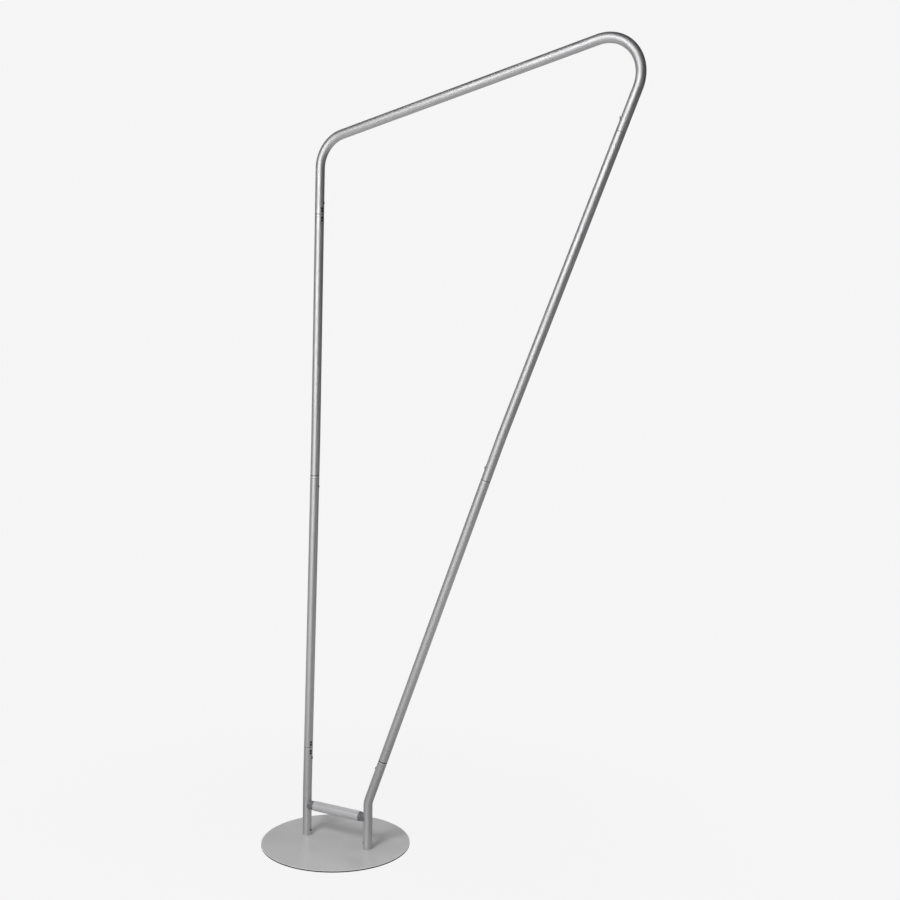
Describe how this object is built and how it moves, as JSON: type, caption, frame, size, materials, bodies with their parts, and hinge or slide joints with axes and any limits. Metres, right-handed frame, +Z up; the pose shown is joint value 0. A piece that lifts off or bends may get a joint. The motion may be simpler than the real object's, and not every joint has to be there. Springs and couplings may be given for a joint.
{
  "type": "banner frame stand",
  "caption": "Free-standing slanted-top tube frame on a round base plate, push-fit tubes locked by sprung snap buttons, for a fabric flag or banner.",
  "frame": {"origin": "centre of the base plate's underside", "axes": "+Z up, +X from the upright leg towards the leaning leg, +Y towards the back, square to the frame's plane"},
  "size_m": [1.2543, 0.5, 2.5328],
  "materials": {
    "plate_finish": "smooth satin grey powder coat",
    "tube_finish": "brushed satin",
    "steel": "plain turned steel",
    "saddle_plastic": "moulded, fine texture",
    "spigot_finish": "mill finish",
    "button_steel": "polished",
    "spring_steel": "blued strip"
  },
  "bodies": {
    "root": {"base_plate": "plate_finish", "left_peg": "steel", "right_peg": "steel", "left_peg_screw": "steel", "right_peg_screw": "steel", "left_post": "tube_finish", "left_lower_tube": "tube_finish", "left_upper_tube": "tube_finish", "top_bow": "tube_finish", "right_upper_tube": "tube_finish", "right_lower_tube": "tube_finish", "right_post": "tube_finish", "crossbar_tube": "tube_finish", "left_saddle": "saddle_plastic", "right_saddle": "saddle_plastic", "left_saddle_screw": "steel", "right_saddle_screw": "steel", "left_lower_spigot": "spigot_finish", "left_middle_spigot": "spigot_finish", "left_upper_spigot": "spigot_finish", "right_upper_spigot": "spigot_finish", "right_middle_spigot": "spigot_finish", "right_lower_spigot": "spigot_finish", "left_lower_leaf_spring": "spring_steel", "left_middle_leaf_spring": "spring_steel", "left_upper_leaf_spring": "spring_steel", "right_upper_leaf_spring": "spring_steel", "right_middle_leaf_spring": "spring_steel", "right_lower_leaf_spring": "spring_steel", "left_peg_leaf_spring": "spring_steel", "right_peg_leaf_spring": "spring_steel"},
    "press_left_lower": {"left_lower_button": "button_steel"},
    "press_left_middle": {"left_middle_button": "button_steel"},
    "press_left_upper": {"left_upper_button": "button_steel"},
    "press_right_upper": {"right_upper_button": "button_steel"},
    "press_right_middle": {"right_middle_button": "button_steel"},
    "press_right_lower": {"right_lower_button": "button_steel"},
    "press_left_peg": {"left_peg_button": "button_steel"},
    "press_right_peg": {"right_peg_button": "button_steel"}
  },
  "joints": [
    {"name": "left_lower_button_press", "type": "slide", "parent": "root", "child": "press_left_lower", "axis": [-0.9998, 0, 0.0192], "range_m": [0, 0.0055], "stiffness_N_per_m": 800, "springref_m": -0.003, "deforming": ["left_lower_leaf_spring"]},
    {"name": "left_middle_button_press", "type": "slide", "parent": "root", "child": "press_left_middle", "axis": [-0.9998, 0, 0.0192], "range_m": [0, 0.0055], "stiffness_N_per_m": 800, "springref_m": -0.003, "deforming": ["left_middle_leaf_spring"]},
    {"name": "left_upper_button_press", "type": "slide", "parent": "root", "child": "press_left_upper", "axis": [-0.9999, 0, 0.0105], "range_m": [0, 0.0055], "stiffness_N_per_m": 800, "springref_m": -0.003, "deforming": ["left_upper_leaf_spring"]},
    {"name": "right_upper_button_press", "type": "slide", "parent": "root", "child": "press_right_upper", "axis": [0.9278, 0, -0.373], "range_m": [0, 0.0055], "stiffness_N_per_m": 800, "springref_m": -0.003, "deforming": ["right_upper_leaf_spring"]},
    {"name": "right_middle_button_press", "type": "slide", "parent": "root", "child": "press_right_middle", "axis": [0.9361, 0, -0.3518], "range_m": [0, 0.0055], "stiffness_N_per_m": 800, "springref_m": -0.003, "deforming": ["right_middle_leaf_spring"]},
    {"name": "right_lower_button_press", "type": "slide", "parent": "root", "child": "press_right_lower", "axis": [0.9361, 0, -0.3518], "range_m": [0, 0.0055], "stiffness_N_per_m": 800, "springref_m": -0.003, "deforming": ["right_lower_leaf_spring"]},
    {"name": "left_peg_button_press", "type": "slide", "parent": "root", "child": "press_left_peg", "axis": [-1, 0, 0], "range_m": [0, 0.0055], "stiffness_N_per_m": 800, "springref_m": -0.003, "deforming": ["left_peg_leaf_spring"]},
    {"name": "right_peg_button_press", "type": "slide", "parent": "root", "child": "press_right_peg", "axis": [1, 0, 0], "range_m": [0, 0.0055], "stiffness_N_per_m": 800, "springref_m": -0.003, "deforming": ["right_peg_leaf_spring"]}
  ]
}
